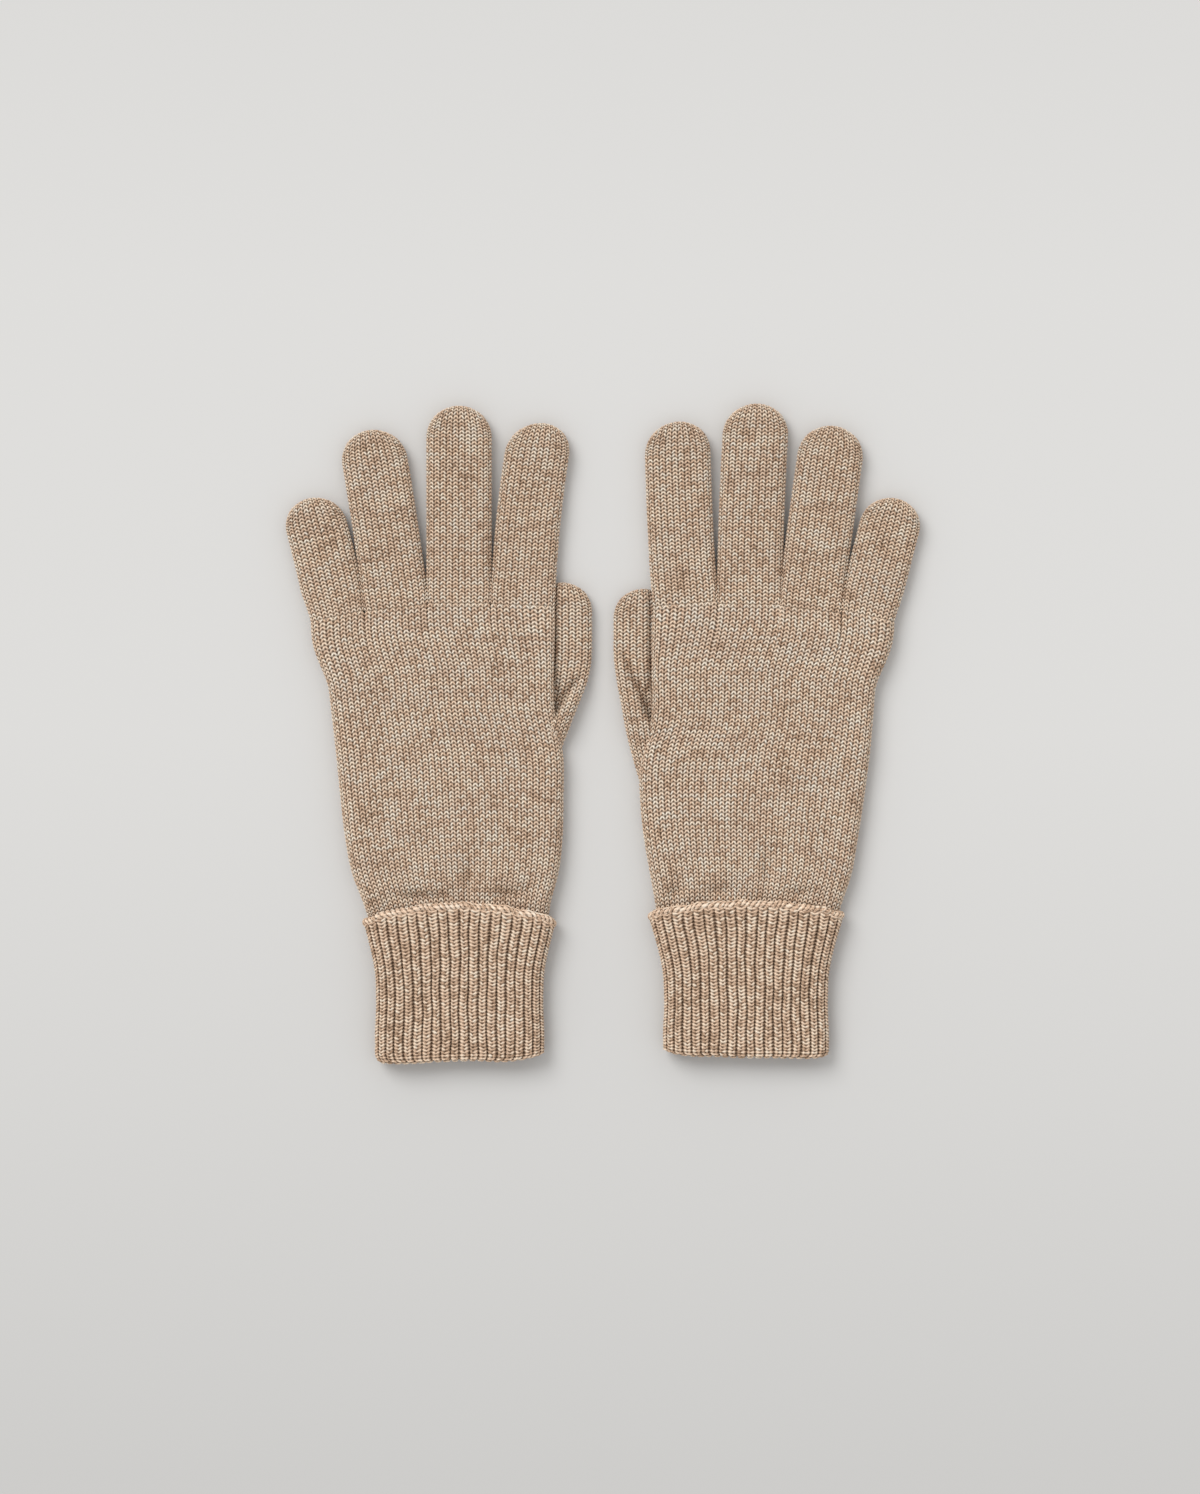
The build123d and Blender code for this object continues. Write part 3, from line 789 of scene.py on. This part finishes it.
def make_turnback(side, glove):
    """The turned-up layer: up its ribbed outside from the fold to the arched top, over, and down inside.

    The fold is a half circle in the plane along the glove, from the outside to the throat. The grooves
    between the ribs run out over the last few courses.
    """
    wale = wale_columns(ribs, 10, 6)
    share, _ = face_share(wale, ribs)
    courses = round((glove["arch"][1] - glove["cuff_bottom"]) / rib_course)
    course = (np.arange(courses * 3 + 1) / 3)[:, None]
    climb = -leg_slant * chevron(wale) * ease(course / 2) * ease((courses - course) / 2)
    turn = np.linspace(np.pi, 0, 9)[:, None]
    crest = cuff_arch(glove, share * cuff_top_half_width) - 0.9
    start = folded_end(side, share) + fold_reach
    y_out = start + (crest - start) * (course + climb) / courses
    y_fold = start - fold_reach * np.sin(turn) + 0 * wale
    inset_fold = fold_reach * (1 - np.cos(turn)) + 0 * wale
    y_in = crest - (crest - start - 1) * np.linspace(0.01, 1, 10)[:, None]
    ys = np.concatenate((y_fold[:-1], y_out, y_in))
    insets = np.concatenate((inset_fold[:-1], 0 * y_out, rib_wall + 0 * y_in))
    offset, z = cuff_ring(side, wale, ys, insets)
    base = np.stack((offset, ys, z), axis=-1)
    shown = np.concatenate((np.linspace(-3, 0, 9)[:-1, None] + 0 * wale, course + 0 * wale))
    runs_out = ease((shown - courses + 4.5) / 4)
    relief = rib_depth * (rib_relief(wale, shown) - 1) * ease((shown + 3.5) / 3) * (1 - 0.65 * runs_out)
    relief = np.concatenate((relief, 0 * y_in))
    points = base + outward(base) * relief[..., None]
    stitches = np.concatenate((shown, np.linspace(courses, 0, 10)[:, None] + 0 * wale))
    pinch = np.concatenate((0.3 * runs_out, 0 * y_in)) * (wale % 1 - 0.5)
    return tube_mesh(f"{side}_cuff_turnback_rib", glove, points, wale - pinch, stitches, ribs, "joined")


# Strong painted shade in the valleys between the ribs, lighter painted shade in the laps.
rib_yarn = yarn_material("rib_wool", laps=0.5, centre=0.65, gap=0.2, valley=0.74, streaks=0.15)
for side, glove in gloves.items():
    turnback = make_turnback(side, glove)
    turnback.data.materials.append(rib_yarn)
    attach(turnback, f"{side}_glove_hand")
    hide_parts(f"{side}_cuff_turnback")

# ---------------------------------------------------------------------------------------------
# Cuffs, inner layer. The same rib between the fold and the wrist, hidden by the turned-up layer
# but for its ribbed inside, which shows in the mouth of the glove.
# ---------------------------------------------------------------------------------------------
leg_outside, leg_inside = 2.4, 3.6      # how far its two faces lie in from the face of the cuff
leg_rib_depth = 0.7
for side, glove in gloves.items():
    wale = wale_columns(ribs, 6, 6)
    share, _ = face_share(wale, ribs)
    start = folded_end(side, share) + fold_reach - 0.5
    end = glove["outline"][0][0] + 2
    courses = round((end - glove["cuff_bottom"]) / rib_course)
    up = np.linspace(0, 1, courses * 2 + 1)[:, None] + 0 * wale
    ys = start + (end - start) * np.concatenate((up, up[::-1]))
    insets = np.concatenate((leg_inside + 0 * up, leg_outside + 0 * up))
    shown = np.concatenate((up, up[::-1])) * courses
    offset, z = cuff_ring(side, wale, ys, insets)
    base = np.stack((offset, ys, z), axis=-1)
    relief = np.concatenate((leg_rib_depth * (rib_relief(wale, up * courses) - 0.5), 0 * up))
    points = base + outward(base) * relief[..., None]
    leg = tube_mesh(f"{side}_cuff_leg_rib", glove, points, wale, shown, ribs, "joined", (60, 60, 90))
    leg.data.materials.append(rib_yarn)
    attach(leg, f"{side}_glove_hand")
    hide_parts(f"{side}_cuff_leg")

# ---------------------------------------------------------------------------------------------
# Cuffs, edge. The last row is bound off: its stitches are drawn over one another into a soft rolled
# rim of slanting strands, two to each rib, which spreads a little wider than the cuff.
# ---------------------------------------------------------------------------------------------
edge_radius = 1.05
strand_height = 0.55


def make_edge(side, glove):
    """A ring of round section along the arched top of the cuff, with strands winding round it.

    A strand lies where 2 wale + 3 a / (2 pi) is whole, a being the angle round the section, and its
    height follows |cos(pi (2 wale + 3 a / (2 pi)))|^0.6. The section starts on its hidden inner side.
    """
    wale = wale_columns(ribs, 16, 10)
    share, _ = face_share(wale, ribs)
    angle = np.pi / 2 + np.linspace(0, 2 * np.pi, 19)[:-1, None]
    strand = 2 * wale + 1.5 * angle / np.pi + 0.25 * np.sin(7 * share) + 0.15 * np.sin(23 * share + 1)
    sway = 0.25 * np.sin(17 * share + 1.0) + 0.2 * np.sin(31 * share)
    radius = edge_radius + strand_height * np.abs(np.cos(np.pi * strand)) ** 0.6
    ys = cuff_arch(glove, share * cuff_top_half_width) - 1.3 + sway + 1.05 * radius * np.cos(angle)
    offset, z = cuff_ring(side, wale, ys, 1.2 + radius * np.sin(angle) - 0.15 * sway)
    points = np.stack((offset, ys, z), axis=-1)
    along = 3 * angle / np.pi + 0 * wale
    first = (60, 60, 20)
    return tube_mesh(f"{side}_cuff_edge_bound", glove, points, strand + 0.5, along, 2 * ribs, "joined", first)


# Painted shade at the gaps and valleys between the strands of the rim.
edge_yarn = yarn_material("bound_wool", laps=0.25, centre=0.0, gap=0.5, valley=0.4)
for side, glove in gloves.items():
    edge = make_edge(side, glove)
    edge.data.materials.append(edge_yarn)
    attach(edge, f"{side}_glove_hand")
    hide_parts(f"{side}_cuff_edge")

# ---------------------------------------------------------------------------------------------
# Table and light. A pale plain surface, a shade darker towards its near side, and soft light that
# comes a little more from the far left.
# ---------------------------------------------------------------------------------------------
bpy.ops.mesh.primitive_plane_add(size=6)
table = bpy.context.object
table.name = "table"
surface = bpy.data.materials.new("pale_table")
surface.use_nodes = True
board = surface.node_tree.nodes["Principled BSDF"]
board.inputs["Roughness"].default_value = 1.0
board.inputs["Specular IOR Level"].default_value = 0.0
start = Thread(surface.node_tree, None)
place = start.node("ShaderNodeTexCoord", output="Object")
along = start.node("ShaderNodeSeparateXYZ", (), {0: place}, 1)
table_stops = [(0.0, tint(196, 195, 193)), (0.25, tint(205, 204, 202)), (0.5, tint(212, 211, 209)),
               (0.8, tint(213, 212, 210)), (1.0, tint(210, 209, 207))]
pale = start.node("ShaderNodeValToRGB", {"stops": table_stops}, {0: (along + 0.3) * (1 / 0.6)})
surface.node_tree.links.new(pale.socket, board.inputs["Base Color"])
table.data.materials.append(surface)

world = bpy.data.worlds.new("studio")
bpy.context.scene.world = world
world.use_nodes = True
world.node_tree.nodes["Background"].inputs[0].default_value = (1, 1, 1, 1)
world.node_tree.nodes["Background"].inputs[1].default_value = 0.74

lamp = bpy.data.lights.new("window", "SUN")
lamp.angle, lamp.energy = np.radians(36), 1.6
key = bpy.data.objects.new("window", lamp)
bpy.context.collection.objects.link(key)
key.location = (-1.0, 1.1, 1.6)
key.rotation_euler = (-key.location).to_track_quat("-Z", "Y").to_euler()

view_height = 0.5976       # the stretch of table from the top to the bottom of the view
distance = 2.2
camera_data = bpy.data.cameras.new("camera")
camera_data.sensor_fit = "VERTICAL"
camera_data.sensor_height = 36
camera_data.lens = 36 * distance / view_height
camera = bpy.data.objects.new("camera", camera_data)
bpy.context.collection.objects.link(camera)
camera.location = (-0.00115, -0.00567, distance)
bpy.context.scene.camera = camera
bpy.context.scene.view_settings.view_transform = "Standard"
